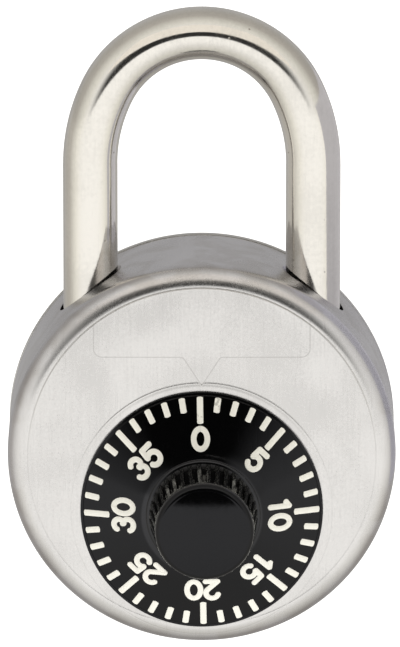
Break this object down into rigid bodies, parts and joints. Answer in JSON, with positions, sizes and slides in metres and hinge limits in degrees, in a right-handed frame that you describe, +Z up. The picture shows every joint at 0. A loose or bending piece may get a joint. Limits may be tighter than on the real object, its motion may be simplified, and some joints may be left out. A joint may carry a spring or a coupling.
{
  "type": "combination padlock",
  "caption": "Round combination padlock with a black dial on a flat steel face and a bent bar shackle that lifts to open.",
  "frame": {"origin": "inner top of the shackle's bow, where the lock hangs on a hasp, in the plane of the shackle", "axes": "+Z up along the legs of the shackle, the dial faces -Y, +X to the right as the dial is read"},
  "size_m": [0.0542, 0.0351, 0.0888],
  "materials": {
    "case_stainless": "satin",
    "inner_steel": "zinc plated",
    "post_steel": "machined",
    "spring_steel": "drawn",
    "brass": "machined",
    "wheel_brass": "stamped",
    "dial_black": "semi-gloss, white filled marks",
    "shackle_steel": "polished plating"
  },
  "bodies": {
    "case": {"front_case": "case_stainless", "back_cover": "case_stainless", "inner_case": "inner_steel", "mechanism_plate": "inner_steel", "heel_guide": "inner_steel", "toe_guide": "inner_steel", "center_post": "post_steel", "post_clip": "post_steel", "wheel_spacer": "post_steel", "post_sleeve": "post_steel", "lever_post": "post_steel", "lever_clip": "post_steel", "spring_stop": "post_steel", "heel_rivet_outer": "post_steel", "heel_rivet_inner": "post_steel", "toe_rivet": "post_steel", "dial_wave_washer": "spring_steel", "wheel_spring": "spring_steel", "lever_spring": "spring_steel", "dial_bushing": "brass"},
    "dial": {"dial": "dial_black", "dial_spindle": "post_steel", "drive_cam": "wheel_brass"},
    "middle_wheel": {"middle_wheel": "wheel_brass"},
    "rear_wheel": {"rear_wheel": "wheel_brass"},
    "lever": {"locking_lever": "inner_steel"},
    "shackle": {"shackle": "shackle_steel", "shackle_ring": "post_steel"}
  },
  "joints": [
    {"name": "dial_turn", "type": "hinge", "parent": "case", "child": "dial", "pos_m": [0, 0, -0.0615], "axis": [0, -1, 0], "continuous": true},
    {"name": "middle_wheel_turn", "type": "hinge", "parent": "case", "child": "middle_wheel", "pos_m": [0, 0, -0.0615], "axis": [0, -1, 0], "continuous": true},
    {"name": "rear_wheel_turn", "type": "hinge", "parent": "case", "child": "rear_wheel", "pos_m": [0, 0, -0.0615], "axis": [0, -1, 0], "continuous": true},
    {"name": "shackle_lift", "type": "slide", "parent": "case", "child": "shackle", "axis": [0, 0, 1], "range_m": [0, 0.0135]},
    {"name": "lever_swing", "type": "hinge", "parent": "case", "child": "lever", "pos_m": [-0.008, 0, -0.0481], "axis": [0, 1, 0], "range_deg": [0, 14]}
  ],
  "couplings": [
    {"joint": "middle_wheel_turn", "follows": "dial_turn", "ratio": 1},
    {"joint": "rear_wheel_turn", "follows": "dial_turn", "ratio": 1},
    {"joint": "lever_swing", "follows": "shackle_lift", "rad_per_m": 18.09}
  ]
}
